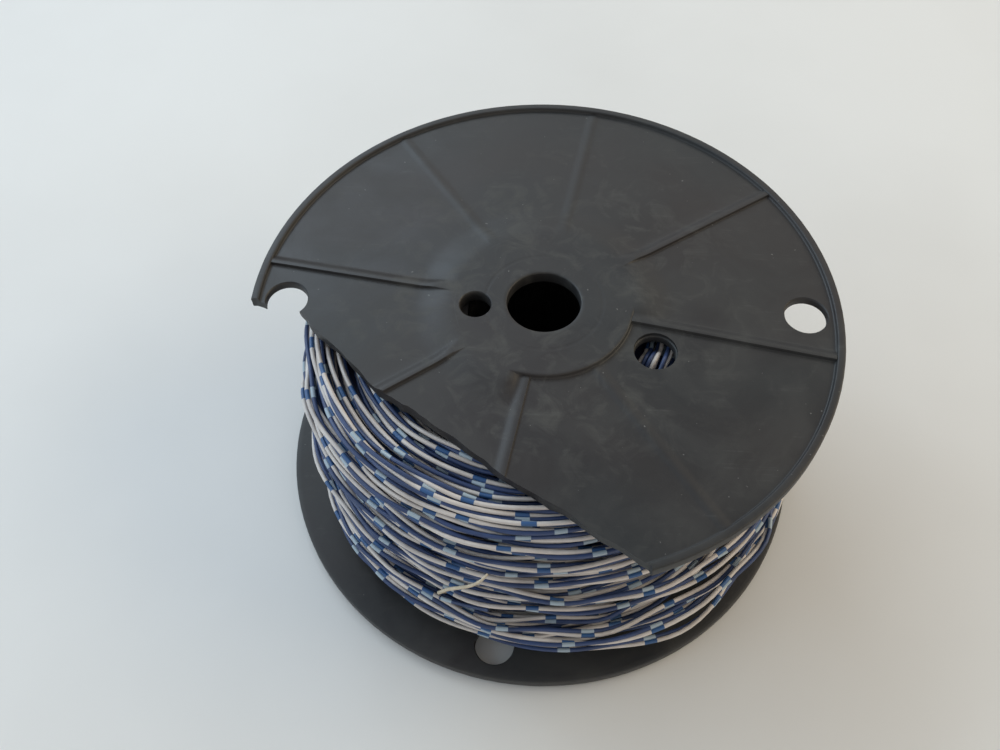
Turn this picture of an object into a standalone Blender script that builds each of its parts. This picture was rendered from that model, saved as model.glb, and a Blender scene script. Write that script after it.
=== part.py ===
"""Wire spool: two moulded flanges on a hollow drum, wound with a twisted pair of bell wire.

The spool stands on its lower flange. +Z runs up the spool's own axis, the origin is the middle of
the face it stands on, and sizes are in metres. The upper flange has lost a piece along a
nearly straight crack. The winding is made as plain solids of its outer shape, and its loosest
outside turns and the two cut wire ends are tubes of their own.
"""
import math

import bmesh
import bpy
from mathutils import Vector

MM = 0.001

# Driving sizes -------------------------------------------------------------------------------
OVERALL_WIDTH = 66.0 * MM        # from hub face to hub face
FLANGE_RADIUS = 66.675 * MM
ARBOR_BORE_RADIUS = 8.3 * MM     # runs on a 5/8 in spindle

HUB_RADIUS = 20.0 * MM           # raised disc in the middle of a flange
HUB_THICKNESS = 3.3 * MM
HUB_RAISE = 1.2 * MM             # hub face above the rim lip
LIP_HEIGHT = 0.9 * MM            # rim lip above the web
LIP_WIDTH = 1.8 * MM
WEB_THICKNESS = 2.1 * MM         # at the rim
WEB_RISE = 1.1 * MM              # how much further out the web lies at the hub than at the rim
EDGE_CHAMFER = 0.4 * MM

RIB_COUNT = 8
RIB_FIRST_ANGLE = 35.0           # degrees
RIB_WIDTH = 2.3 * MM
RIB_HEIGHT = 0.8 * MM
RIB_ROOT = 0.7 * MM              # how far a rib's solid reaches into the web

RIM_HOLE_RADIUS = 4.75 * MM
RIM_HOLE_INSET = 8.0 * MM        # from the rim to the hole's centre
RIM_HOLE_ANGLES = (0.0, 180.0)
PIN_HOLE_RADIUS = 3.5 * MM
PIN_HOLE_CIRCLE = 15.4 * MM
PIN_HOLE_ANGLE = 184.8
WINDOW_RADIUS = 4.5 * MM
WINDOW_GAP_TO_DRUM = 1.3 * MM
WINDOW_ANGLE = 334.5

DRUM_RADIUS = 21.5 * MM
DRUM_WALL = 1.9 * MM
SPIGOT_WALL = 2.0 * MM
SPIGOT_LENGTH = 5.0 * MM
SPIGOT_FOOT = 0.3 * MM           # what a slot leaves of the spigot
SPIGOT_SLOT_WIDTH = 8.6 * MM
SPIGOT_SLOTS = 3

LOWER_FLANGE_TURN = 261.0        # degrees about +Z, after it is turned over

WINDING_INSET = 10.2 * MM        # from the rim to the tight outside turns
INNER_LAYERS_DEPTH = 18.0 * MM
WINDING_SHOULDER = 3.2 * MM      # how much less the winding fills under the upper flange
SHOULDER_HEIGHT = 19.0 * MM
SHOULDER_SPANS = 4

PAIR_DIAMETER = 2.1 * MM
CONDUCTOR_DIAMETER = 1.0 * MM
LOOSE_TURN_ANGLE = 340.0         # where the loose turns stand out furthest
LOOSE_TURN_SPREAD = 46.0
# Each loose turn: how far up the winding it lies, and how far it stands off at that angle.
LOOSE_TURNS = (
    (0.08, 7.2 * MM),
    (0.17, 6.4 * MM),
    (0.26, 5.4 * MM),
    (0.48, 6.2 * MM),
    (0.61, 5.4 * MM),
    (0.74, 4.6 * MM),
)

SEAT_GAP = 0.3 * MM              # between touching pieces
CUT_OVERSHOOT = 1.0 * MM

FLANGE_STEPS = 72
DRUM_STEPS = 48
HOLE_SIDES = 24
LOOSE_TURN_POINTS = 44

# The crack, as shares of the flange radius, from the rim at the left round to the rim in front.
CRACK = (
    (-0.986, -0.010),
    (-0.930, -0.032),
    (-0.832, -0.038),
    (-0.782, -0.102),
    (-0.522, -0.358),
    (-0.436, -0.404),
    (-0.104, -0.653),
    (0.079, -0.758),
    (0.327, -0.927),
)
CRACK_RIM_ENDS = ((-1.15, 0.000), (0.380, -1.150))
MISSING_PIECE_REACH = 1.6        # flange radii from the axis, well past the rim

# Routes of the cut ends, as (degrees round the axis, height share, lift off the winding).
WHITE_END_ROUTE = (
    (245.5, 0.315, 1.3 * MM),
    (248.0, 0.395, 2.5 * MM),
    (250.0, 0.490, 3.5 * MM),
    (253.8, 0.617, 4.1 * MM),
    (257.3, 0.721, 4.5 * MM),
    (260.4, 0.840, 4.8 * MM),
)
BLUE_END_ROUTE = (
    (247.5, 0.300, 1.1 * MM),
    (251.5, 0.318, 1.1 * MM),
    (256.0, 0.345, 1.3 * MM),
    (260.0, 0.372, 1.7 * MM),
)
END_POINTS_PER_SPAN = 3

# Sizes that follow ---------------------------------------------------------------------------
LIP_FACE = -HUB_RAISE                      # heights below the hub face of a flange
WEB_FACE = LIP_FACE - LIP_HEIGHT
INNER_FACE = WEB_FACE - WEB_THICKNESS
HUB_INNER_FACE = -HUB_THICKNESS
SPIGOT_RADIUS = DRUM_RADIUS - DRUM_WALL - SEAT_GAP
SPIGOT_END = INNER_FACE - SPIGOT_LENGTH
RIM_HOLE_CIRCLE = FLANGE_RADIUS - RIM_HOLE_INSET
WINDOW_CIRCLE = DRUM_RADIUS + WINDOW_GAP_TO_DRUM + WINDOW_RADIUS

DRUM_LOW = -INNER_FACE + SEAT_GAP
DRUM_HIGH = OVERALL_WIDTH + INNER_FACE - SEAT_GAP
WINDING_HEIGHT = DRUM_HIGH - DRUM_LOW
WINDING_INSIDE = DRUM_RADIUS + SEAT_GAP
WINDING_RADIUS = FLANGE_RADIUS - WINDING_INSET
LAYER_SPLIT = DRUM_RADIUS + INNER_LAYERS_DEPTH


def clear_scene():
    for item in list(bpy.data.objects):
        bpy.data.objects.remove(item, do_unlink=True)


def new_collection(name):
    group = bpy.data.collections.new(name)
    bpy.context.scene.collection.children.link(group)
    return group


def new_material(name, colour, roughness, metallic=0.0):
    material = bpy.data.materials.new(name)
    material.use_nodes = True
    shader = material.node_tree.nodes["Principled BSDF"]
    shader.inputs["Base Color"].default_value = (*colour, 1.0)
    shader.inputs["Roughness"].default_value = roughness
    shader.inputs["Metallic"].default_value = metallic
    return material


def new_object(name, data, group, material=None):
    item = bpy.data.objects.new(name, data)
    group.objects.link(item)
    if material is not None:
        data.materials.clear()
        data.materials.append(material)
    return item


def smooth(mesh):
    mesh.shade_smooth()
    mesh.set_sharp_from_angle(angle=math.radians(30.0))


def evaluated_mesh(item):
    """The item's shape with its modifiers and caps, welded, as a mesh of its own."""
    bpy.context.view_layer.update()
    graph = bpy.context.evaluated_depsgraph_get()
    mesh = bpy.data.meshes.new_from_object(item.evaluated_get(graph))
    welded = bmesh.new()
    welded.from_mesh(mesh)
    bmesh.ops.remove_doubles(welded, verts=welded.verts, dist=0.001 * MM)
    welded.to_mesh(mesh)
    welded.free()
    return mesh


def turned(name, profile, steps, group, material=None):
    """Turn a closed (radius, height) outline round Z; it runs outwards along the top first."""
    mesh = bpy.data.meshes.new(name)
    points = [(radius, 0.0, height) for radius, height in profile]
    edges = [(i, (i + 1) % len(points)) for i in range(len(points))]
    mesh.from_pydata(points, edges, [])
    item = new_object(name, mesh, group, material)
    screw = item.modifiers.new("Turn", "SCREW")
    screw.axis = "Z"
    screw.steps = steps
    screw.render_steps = steps
    screw.use_merge_vertices = True
    screw.merge_threshold = 0.01 * MM
    screw.use_smooth_shade = True
    return item


def as_cutter(item):
    item.hide_render = True
    item.display_type = "WIRE"
    return item


def add_boolean(item, cutter, operation):
    step = item.modifiers.new(cutter.name, "BOOLEAN")
    step.operation = operation
    step.solver = "EXACT"
    step.object = cutter


def polar(radius, degrees, height=0.0):
    angle = math.radians(degrees)
    return Vector((radius * math.cos(angle), radius * math.sin(angle), height))


def add_box(shape, length, width, height, centre, degrees, fall=0.0):
    """Add to a bmesh a box whose length points outwards at the given angle round Z.

    Its outer end can lie lower than its inner end by a given fall.
    """
    made = bmesh.ops.create_cube(shape, size=1.0)
    turn = math.radians(degrees)
    for corner in made["verts"]:
        x = corner.co.x * length
        y = corner.co.y * width
        z = corner.co.z * height - corner.co.x * fall
        corner.co = centre + Vector(
            (x * math.cos(turn) - y * math.sin(turn), x * math.sin(turn) + y * math.cos(turn), z)
        )


def add_cylinder(shape, radius, low, high, centre):
    """Add to a bmesh an upright cylinder between two heights."""
    made = bmesh.ops.create_cone(
        shape,
        cap_ends=True,
        segments=HOLE_SIDES,
        radius1=radius,
        radius2=radius,
        depth=high - low,
    )
    for corner in made["verts"]:
        corner.co += centre + Vector((0.0, 0.0, (low + high) / 2))


def mesh_object(name, fill, group):
    """Make an object whose mesh is filled by a function that takes a bmesh."""
    shape = bmesh.new()
    fill(shape)
    mesh = bpy.data.meshes.new(name)
    shape.to_mesh(mesh)
    shape.free()
    return new_object(name, mesh, group)


# Flanges -------------------------------------------------------------------------------------
def flange_profile():
    lip_inside = FLANGE_RADIUS - LIP_WIDTH
    return [
        (ARBOR_BORE_RADIUS + EDGE_CHAMFER, 0.0),
        (HUB_RADIUS - EDGE_CHAMFER, 0.0),
        (HUB_RADIUS, -EDGE_CHAMFER),
        (HUB_RADIUS, WEB_FACE + WEB_RISE),
        (lip_inside, WEB_FACE),
        (lip_inside + EDGE_CHAMFER, LIP_FACE),
        (FLANGE_RADIUS - EDGE_CHAMFER, LIP_FACE),
        (FLANGE_RADIUS, LIP_FACE - EDGE_CHAMFER),
        (FLANGE_RADIUS, INNER_FACE + EDGE_CHAMFER),
        (FLANGE_RADIUS - EDGE_CHAMFER, INNER_FACE),
        (SPIGOT_RADIUS, INNER_FACE),
        (SPIGOT_RADIUS, SPIGOT_END + EDGE_CHAMFER),
        (SPIGOT_RADIUS - EDGE_CHAMFER, SPIGOT_END),
        (SPIGOT_RADIUS - SPIGOT_WALL, SPIGOT_END),
        (SPIGOT_RADIUS - SPIGOT_WALL, HUB_INNER_FACE),
        (ARBOR_BORE_RADIUS, HUB_INNER_FACE),
        (ARBOR_BORE_RADIUS, -EDGE_CHAMFER),
    ]


def fill_ribs(shape):
    """Radial ribs from inside the hub disc to inside the rim lip, sloping with the web."""
    start = HUB_RADIUS - 2 * EDGE_CHAMFER
    end = FLANGE_RADIUS - LIP_WIDTH / 2
    height = RIB_ROOT + RIB_HEIGHT
    middle = WEB_FACE + WEB_RISE / 2 - RIB_ROOT + height / 2
    for i in range(RIB_COUNT):
        angle = RIB_FIRST_ANGLE + i * 360.0 / RIB_COUNT
        centre = polar((start + end) / 2, angle, middle)
        add_box(shape, end - start, RIB_WIDTH, height, centre, angle, WEB_RISE)


def fill_holes(shape):
    """Rim holes, the drive-pin hole, the wire window and the slots in the spigot."""
    low = INNER_FACE - CUT_OVERSHOOT
    high = CUT_OVERSHOOT
    for angle in RIM_HOLE_ANGLES:
        add_cylinder(shape, RIM_HOLE_RADIUS, low, high, polar(RIM_HOLE_CIRCLE, angle))
    add_cylinder(shape, WINDOW_RADIUS, low, high, polar(WINDOW_CIRCLE, WINDOW_ANGLE))
    pin_hole = polar(PIN_HOLE_CIRCLE, PIN_HOLE_ANGLE)
    add_cylinder(shape, PIN_HOLE_RADIUS, low, high, pin_hole)


def fill_slots(shape):
    """Slots that part the spigot into lugs, one of them in line with the drive-pin hole."""
    top = INNER_FACE - SPIGOT_FOOT
    bottom = SPIGOT_END - CUT_OVERSHOOT
    length = SPIGOT_WALL + 2 * CUT_OVERSHOOT
    for i in range(SPIGOT_SLOTS):
        angle = PIN_HOLE_ANGLE + i * 360.0 / SPIGOT_SLOTS
        centre = polar(SPIGOT_RADIUS - SPIGOT_WALL / 2, angle, (top + bottom) / 2)
        add_box(shape, length, SPIGOT_SLOT_WIDTH, top - bottom, centre, angle)


def flange_moulding(parts, cutters):
    """One flange with its hub face at height 0 and its spigot pointing down."""
    blank = turned("flange_blank", flange_profile(), FLANGE_STEPS, parts)
    ribs = as_cutter(mesh_object("flange_ribs", fill_ribs, cutters))
    holes = as_cutter(mesh_object("flange_holes", fill_holes, cutters))
    slots = as_cutter(mesh_object("spigot_slots", fill_slots, cutters))
    add_boolean(blank, ribs, "UNION")
    add_boolean(blank, holes, "DIFFERENCE")
    add_boolean(blank, slots, "DIFFERENCE")
    mesh = evaluated_mesh(blank)
    bpy.data.objects.remove(blank, do_unlink=True)
    smooth(mesh)
    return mesh


def missing_piece(cutters):
    """The piece that has broken off the upper flange, as a plate along the crack."""
    outer = MISSING_PIECE_REACH * FLANGE_RADIUS
    outline = [Vector((x, y, 0.0)) * FLANGE_RADIUS for x, y in CRACK_RIM_ENDS[:1] + CRACK]
    outline.append(Vector((*CRACK_RIM_ENDS[1], 0.0)) * FLANGE_RADIUS)
    outline.append(Vector((0.0, -outer, 0.0)))
    outline.append(Vector((-outer, -outer, 0.0)))
    outline.append(Vector((-outer, 0.0, 0.0)))
    curve = bpy.data.curves.new("missing_piece", "CURVE")
    curve.dimensions = "2D"
    curve.fill_mode = "BOTH"
    low = OVERALL_WIDTH + INNER_FACE - CUT_OVERSHOOT
    high = OVERALL_WIDTH + CUT_OVERSHOOT
    curve.extrude = (high - low) / 2
    spline = curve.splines.new("POLY")
    spline.points.add(len(outline) - 1)
    for point, place in zip(spline.points, outline):
        point.co = (place.x, place.y, 0.0, 1.0)
    spline.use_cyclic_u = True
    plate = new_object("missing_piece_curve", curve, cutters)
    mesh = evaluated_mesh(plate)
    bpy.data.objects.remove(plate, do_unlink=True)
    cutter = new_object("missing_piece", mesh, cutters)
    cutter.location.z = (low + high) / 2
    return as_cutter(cutter)


def make_flanges(parts, cutters, plastic):
    moulding = flange_moulding(parts, cutters)
    lower = new_object("lower_flange", moulding, parts, plastic)
    lower.rotation_euler = (math.pi, 0.0, math.radians(LOWER_FLANGE_TURN))
    upper = new_object("upper_flange", moulding.copy(), parts, plastic)
    upper.location.z = OVERALL_WIDTH
    add_boolean(upper, missing_piece(cutters), "DIFFERENCE")


# Drum ----------------------------------------------------------------------------------------
def make_drum(parts, plastic):
    inside = DRUM_RADIUS - DRUM_WALL
    profile = [
        (inside, DRUM_HIGH),
        (DRUM_RADIUS, DRUM_HIGH),
        (DRUM_RADIUS, DRUM_LOW),
        (inside, DRUM_LOW),
    ]
    turned("drum", profile, DRUM_STEPS, parts, plastic)


# Winding -------------------------------------------------------------------------------------
def height_at(share):
    """Height of a share of the way up the winding."""
    return DRUM_LOW + share * WINDING_HEIGHT


def winding_radius(height):
    """Outside of the tight turns: straight, then rounding in under the upper flange."""
    rise = max(0.0, height - (DRUM_HIGH - SHOULDER_HEIGHT)) / SHOULDER_HEIGHT
    return WINDING_RADIUS - WINDING_SHOULDER * rise ** 2


def make_winding(parts, bell_wire):
    inner = [
        (WINDING_INSIDE, DRUM_HIGH),
        (LAYER_SPLIT, DRUM_HIGH),
        (LAYER_SPLIT, DRUM_LOW),
        (WINDING_INSIDE, DRUM_LOW),
    ]
    turned("winding_inner", inner, DRUM_STEPS, parts, bell_wire)
    outer = [(LAYER_SPLIT + SEAT_GAP, DRUM_HIGH)]
    for i in range(SHOULDER_SPANS + 1):
        height = DRUM_HIGH - SHOULDER_HEIGHT * i / SHOULDER_SPANS
        outer.append((winding_radius(height), height))
    outer.append((WINDING_RADIUS, DRUM_LOW))
    outer.append((LAYER_SPLIT + SEAT_GAP, DRUM_LOW))
    turned("winding_outer", outer, FLANGE_STEPS, parts, bell_wire)


def tube(name, points, diameter, closed, group, material):
    """A round wire through the points, as a curve with filled ends."""
    curve = bpy.data.curves.new(name, "CURVE")
    curve.dimensions = "3D"
    curve.bevel_depth = diameter / 2
    curve.bevel_resolution = 1
    curve.use_fill_caps = not closed
    spline = curve.splines.new("POLY")
    spline.points.add(len(points) - 1)
    for point, place in zip(spline.points, points):
        point.co = (*place, 1.0)
    spline.use_cyclic_u = closed
    return new_object(name, curve, group, material)


def make_loose_turns(parts, bell_wire):
    """Outside turns that lie on the winding at the back and stand off it at one side."""
    for number, (share, stand_off) in enumerate(LOOSE_TURNS, start=1):
        height = height_at(share)
        lying = winding_radius(height) + SEAT_GAP + PAIR_DIAMETER / 2
        points = []
        for i in range(LOOSE_TURN_POINTS):
            degrees = 360.0 * i / LOOSE_TURN_POINTS
            away = (degrees - LOOSE_TURN_ANGLE + 180.0) % 360.0 - 180.0
            lift = stand_off * math.exp(-((away / LOOSE_TURN_SPREAD) ** 2))
            points.append(polar(lying + lift, degrees, height))
        tube(f"loose_turn_{number}", points, PAIR_DIAMETER, True, parts, bell_wire)


def smooth_route(route):
    """Points on a smooth curve (Catmull-Rom) through a route given round the winding."""
    corners = [
        polar(WINDING_RADIUS + lift, degrees, height_at(share)) for degrees, share, lift in route
    ]
    padded = [2 * corners[0] - corners[1], *corners, 2 * corners[-1] - corners[-2]]
    points = []
    for i in range(1, len(padded) - 2):
        before, start, end, after = padded[i - 1:i + 3]
        for step in range(END_POINTS_PER_SPAN):
            t = step / END_POINTS_PER_SPAN
            points.append(
                0.5
                * (
                    2 * start
                    + (end - before) * t
                    + (2 * before - 5 * start + 4 * end - after) * t ** 2
                    + (3 * start - before - 3 * end + after) * t ** 3
                )
            )
    points.append(corners[-1])
    return points


def make_wire_ends(parts, white, blue):
    white_points = smooth_route(WHITE_END_ROUTE)
    tube("white_wire_end", white_points, CONDUCTOR_DIAMETER, False, parts, white)
    blue_points = smooth_route(BLUE_END_ROUTE)
    tube("blue_wire_end", blue_points, CONDUCTOR_DIAMETER, False, parts, blue)


def main():
    clear_scene()
    parts = new_collection("wire_spool")
    cutters = new_collection("cutters")
    plastic = new_material("black_plastic", (0.030, 0.031, 0.033), 0.55)
    bell_wire = new_material("pair_insulation", (0.42, 0.46, 0.58), 0.45)
    white = new_material("white_insulation", (0.74, 0.70, 0.66), 0.45)
    blue = new_material("blue_insulation", (0.03, 0.10, 0.38), 0.45)
    make_flanges(parts, cutters, plastic)
    make_drum(parts, plastic)
    make_winding(parts, bell_wire)
    make_loose_turns(parts, bell_wire)
    make_wire_ends(parts, white, blue)


main()
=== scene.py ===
"""Looks of the wire spool: two moulded flanges on a drum, wound with a banded twisted pair.

The flanges are polar grids whose columns follow the ribs. The wire is laid turn by turn on a
record of what is already wound, so that turns rest on each other and cross as real ones do.
"""
import math

import bpy
import numpy as np
from mathutils import Matrix, Vector


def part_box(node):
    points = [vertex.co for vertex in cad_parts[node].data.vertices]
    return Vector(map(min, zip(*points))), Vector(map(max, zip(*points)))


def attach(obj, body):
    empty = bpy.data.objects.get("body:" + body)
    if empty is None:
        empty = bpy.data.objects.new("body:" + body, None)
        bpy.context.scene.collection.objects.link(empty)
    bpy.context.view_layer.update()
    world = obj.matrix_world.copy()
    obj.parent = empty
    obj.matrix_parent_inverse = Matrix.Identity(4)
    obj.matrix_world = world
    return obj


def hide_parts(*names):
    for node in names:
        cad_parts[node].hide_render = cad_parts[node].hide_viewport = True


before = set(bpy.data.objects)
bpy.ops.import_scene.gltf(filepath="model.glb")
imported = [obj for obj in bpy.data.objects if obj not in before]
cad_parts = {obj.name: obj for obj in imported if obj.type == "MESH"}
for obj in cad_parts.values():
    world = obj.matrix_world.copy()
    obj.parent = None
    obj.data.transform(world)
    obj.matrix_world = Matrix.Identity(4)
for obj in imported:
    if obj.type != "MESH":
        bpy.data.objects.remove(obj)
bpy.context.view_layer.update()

MM = 0.001
TAU = 2 * math.pi

# Places read from the frame --------------------------------------------------------------------
WOUND_LOW, WOUND_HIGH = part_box("winding_outer")
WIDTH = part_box("upper_flange")[1].z
FLANGE_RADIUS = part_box("lower_flange")[1].x
DRUM_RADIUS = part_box("drum")[1].x
WOUND_RADIUS = WOUND_HIGH.x
WOUND_BOTTOM = WOUND_LOW.z
WOUND_TOP = WOUND_HIGH.z

# Flange sizes ----------------------------------------------------------------------------------
BORE_RADIUS = 8.3 * MM
HUB_RADIUS = 20.0 * MM
HUB_THICKNESS = 3.3 * MM
LIP_DROP = 1.2 * MM              # rim lip below the hub face
LIP_HEIGHT = 0.9 * MM
LIP_WIDTH = 1.8 * MM
WEB_THICKNESS = 2.1 * MM
WEB_RISE = 1.1 * MM              # web further out at the hub than at the rim
WEB_DROP = LIP_DROP + LIP_HEIGHT
INNER_DROP = WEB_DROP + WEB_THICKNESS
ROUNDING = 0.35 * MM
LIP_SWEEP = 0.45 * MM            # the web curves up into the lip
GROOVE_CIRCLE = 13.2 * MM        # shallow ring groove in the hub's face
GROOVE_HALF_WIDTH = 0.4 * MM
GROOVE_DEPTH = 0.04 * MM
WAVE_HEIGHT = 0.035 * MM         # slow waves of the web
SPIGOT_RADIUS = 19.3 * MM
SPIGOT_INSIDE = 17.3 * MM
SPIGOT_LENGTH = 5.0 * MM
SPIGOT_SLOT_WIDTH = 8.6 * MM
SLOT_COUNT = 3
LOWER_TURN = math.radians(261.0)  # how far round the lower flange sits

# Ribs: their heights are in millimetres, round from the first one.
RIB_HEIGHTS = (0.62, 0.16, 0.20, 0.75, 0.72, 0.35, 0.22, 0.80)
RIB_COUNT = len(RIB_HEIGHTS)
RIB_FIRST_ANGLE = math.radians(35.0)
RIB_HALF_WIDTH = 1.15 * MM
SOFT_RIB_HEIGHT = 0.3            # ribs lower than this are rounded on both sides
RIB_BELOW_HUB = 0.04 * MM        # at least this far below the hub's face

# The web rises flush with the hub, except on a stretch with this middle and half-width, in degrees.
STEP_MIDDLE = 304.0
STEP_REACH = 45.0
STEP_FADE = 8.0
FLUSH_START = 0.6 * MM           # off the hub's edge
FLUSH_RAMP = 9.0 * MM

# Each hole: radius, distance off the axis, angle in degrees, height of the face round it.
RIM_HOLE_CIRCLE = FLANGE_RADIUS - 8.0 * MM
WIRE_WINDOW = (4.50 * MM, 27.3 * MM, 334.5, -WEB_DROP)
PIN_HOLE = (3.50 * MM, 15.4 * MM, 184.8, 0.0)
HOLES = (
    (4.75 * MM, RIM_HOLE_CIRCLE, 0.0, -WEB_DROP),
    (4.75 * MM, RIM_HOLE_CIRCLE, 180.0, -WEB_DROP),
    WIRE_WINDOW,
    PIN_HOLE,
)
HOLE_EASE = 0.3 * MM             # how far a hole's edges are eased

# The crack, as shares of the flange radius, from the rim at the left to the rim in front.
CRACK = (
    (-1.150, 0.000),
    (-0.986, -0.010),
    (-0.930, -0.032),
    (-0.832, -0.038),
    (-0.782, -0.102),
    (-0.640, -0.245),
    (-0.522, -0.358),
    (-0.452, -0.398),
    (-0.436, -0.410),
    (-0.418, -0.416),
    (-0.270, -0.528),
    (-0.104, -0.653),
    (0.079, -0.758),
    (0.327, -0.927),
    (0.380, -1.150),
)
CRACK_STEPS = 420

# Wire ------------------------------------------------------------------------------------------
WIRE_RADIUS = 0.52 * MM
PAIR_PITCH = 2.14 * MM
BAND_SPACING = 20.0 * MM
BAND_LENGTH = 2.9 * MM
TWIST_LENGTH = 52.0 * MM
TWIST_DRIFT = 1.3                # radians
COLUMNS = 144                    # points in one turn
SEAM_ANGLE = math.radians(95.0)  # where one turn's row of columns ends and the next begins

TAUT_PASSES = 26                 # how far a taut wire bridges dips in what is below it
CLOSE_PASSES = 3                 # the same for the upper wire of a pair, which hugs the lower one

# Shape of the tight turns: rounded in under the upper flange, fuller below.
LAID_DEPTH = 4.7 * MM            # how much of the winding is laid wire by wire
FACE_GAP = 0.1 * MM
SHOULDER_ROUNDING = 4.5 * MM
SHOULDER_LEAN = 1.6 * MM
SHOULDER_DEPTH = 16.0 * MM
FOOT_ROUNDING = 2.5 * MM
WINDOW_BULGE = 2.8 * MM          # how far the turns press up into the wire window
LAYER_MARGIN = 1.2 * MM          # left free at both ends of a layer

# Loose turns stand off round one side. It and the spread are in degrees.
LOOSE_SIDE = 340.0
LOOSE_SPREAD = 48.0
LOOSEST = 8.3 * MM               # furthest that a lifted turn stands off
LOOSE_NODES = 6
# Height and stand-off at the start of each turn and at the end of the last, in millimetres.
LOOSE_TURNS = (
    (57.0, 1.0),
    (51.0, 2.0),
    (43.5, 3.0),
    (37.0, 3.4),
    (30.0, 4.0),
    (23.0, 4.4),
    (16.0, 4.8),
    (10.5, 5.6),
    (8.0, 6.2),
    (14.0, 5.0),
    (24.0, 1.0),
)

# Cut ends: angle in degrees, share of the winding's height, and lift off it in millimetres.
STRAND_ROUTE = (
    (249.0, 0.300, -1.2),
    (247.3, 0.330, 0.4),
    (248.2, 0.390, 1.9),
    (251.4, 0.545, 3.3),
    (255.2, 0.655, 4.2),
    (257.7, 0.717, 4.5),
    (259.7, 0.790, 4.7),
    (261.2, 0.875, 4.8),
)
BLUE_END_ROUTE = (
    (247.5, 0.300, 1.1),
    (251.5, 0.318, 1.1),
    (256.0, 0.345, 1.3),
    (260.0, 0.372, 1.7),
)
ROUTE_POINTS = 60
STRAND_RADIUS = 0.42 * MM
STRAND_THINNING = 0.18 * MM      # how much thinner it is at its tip
BLUE_END_RADIUS = 0.46 * MM

CORE_GAP = 0.3 * MM              # between the drum and the winding's core
SHARP_ANGLE = math.radians(38.0)


# Meshes ----------------------------------------------------------------------------------------
def grid_faces(rows, columns, round_rows, round_columns):
    """Quads of a grid of points, row by row, closed on itself the ways that are asked for."""
    row = np.arange(rows if round_rows else rows - 1)
    column = np.arange(columns if round_columns else columns - 1)
    row, column = np.meshgrid(row, column, indexing="ij")
    next_row = (row + 1) % rows
    next_column = (column + 1) % columns
    quads = np.stack(
        [
            row * columns + column,
            next_row * columns + column,
            next_row * columns + next_column,
            row * columns + next_column,
        ],
        -1,
    )
    return quads.reshape(-1, 4)


def closed_wall(loops, start, end):
    """Loops of points joined into a wall, with a fan to a middle point closing each end.

    The loops run so that the wall faces outwards when the last loop lies to the left of the
    way round seen from outside.
    """
    rows, columns = loops.shape[:2]
    points = np.concatenate([loops.reshape(-1, 3), [start], [end]])
    quads = grid_faces(rows, columns, False, True)[:, ::-1]
    first = np.arange(columns)
    after = (first + 1) % columns
    last = (rows - 1) * columns
    start_fan = np.stack([np.full(columns, len(points) - 2), after, first], -1)
    end_fan = np.stack([np.full(columns, len(points) - 1), last + first, last + after], -1)
    return points, quads, np.concatenate([start_fan, end_fan])


def new_mesh(name, points, quads, triangles=None):
    """A mesh from arrays of points, quads and, if given, triangles."""
    faces = [quads.reshape(-1)]
    sizes = [np.full(len(quads), 4)]
    if triangles is not None:
        faces.append(triangles.reshape(-1))
        sizes.append(np.full(len(triangles), 3))
    corners = np.concatenate(faces).astype(np.int32)
    sizes = np.concatenate(sizes)
    starts = np.concatenate([[0], np.cumsum(sizes)[:-1]]).astype(np.int32)
    mesh = bpy.data.meshes.new(name)
    mesh.vertices.add(len(points))
    mesh.vertices.foreach_set("co", points.astype(np.float32).ravel())
    mesh.loops.add(len(corners))
    mesh.loops.foreach_set("vertex_index", corners)
    mesh.polygons.add(len(sizes))
    mesh.polygons.foreach_set("loop_start", starts)
    mesh.update(calc_edges=True)
    mesh.validate()
    return mesh


def new_piece(name, mesh, material=None):
    """An object in the scene that shows a mesh, in one material if one is given."""
    piece = bpy.data.objects.new(name, mesh)
    bpy.context.scene.collection.objects.link(piece)
    if material is not None:
        mesh.materials.clear()
        mesh.materials.append(material)
    return piece


def with_modifiers(piece):
    """The piece's mesh with its modifiers applied."""
    bpy.context.view_layer.update()
    graph = bpy.context.evaluated_depsgraph_get()
    return bpy.data.meshes.new_from_object(piece.evaluated_get(graph))


def cut(piece, cutter):
    """Cut a closed shape out of a piece, and throw the cutter away."""
    step = piece.modifiers.new("cut", "BOOLEAN")
    step.operation = "DIFFERENCE"
    step.solver = "EXACT"
    step.object = cutter
    mesh = with_modifiers(piece)
    piece.modifiers.remove(step)
    piece.data = mesh
    bpy.data.objects.remove(cutter, do_unlink=True)


def smoothly(low, high, value):
    """Eased step from 0 at low to 1 at high."""
    share = np.clip((value - low) / (high - low), 0.0, 1.0)
    return share * share * (3.0 - 2.0 * share)


def wander(count, spacing, seed):
    """Smooth noise: seeded random heights every so many samples, joined by eased steps."""
    random = np.random.default_rng(seed)
    knots = random.standard_normal(int(count / spacing) + 3)
    place = np.arange(count) / spacing
    before = place.astype(int)
    share = place - before
    share = share * share * (3.0 - 2.0 * share)
    return knots[before] * (1.0 - share) + knots[before + 1] * share


def blurred(values, width):
    """Values smoothed along their length by a bell curve that many samples wide."""
    reach = int(3 * width) + 1
    bell = np.exp(-0.5 * (np.arange(-reach, reach + 1) / width) ** 2)
    bell /= bell.sum()
    padded = np.pad(values, reach, mode="edge")
    return np.convolve(padded, bell, mode="valid")


# Flanges ---------------------------------------------------------------------------------------
def arc(centre, radius, start, end, count=4):
    """Points on an arc in the (distance, height) plane between two angles in degrees."""
    turn = np.radians(np.linspace(start, end, count))
    return [(centre[0] + radius * math.cos(a), centre[1] + radius * math.sin(a)) for a in turn]


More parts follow.
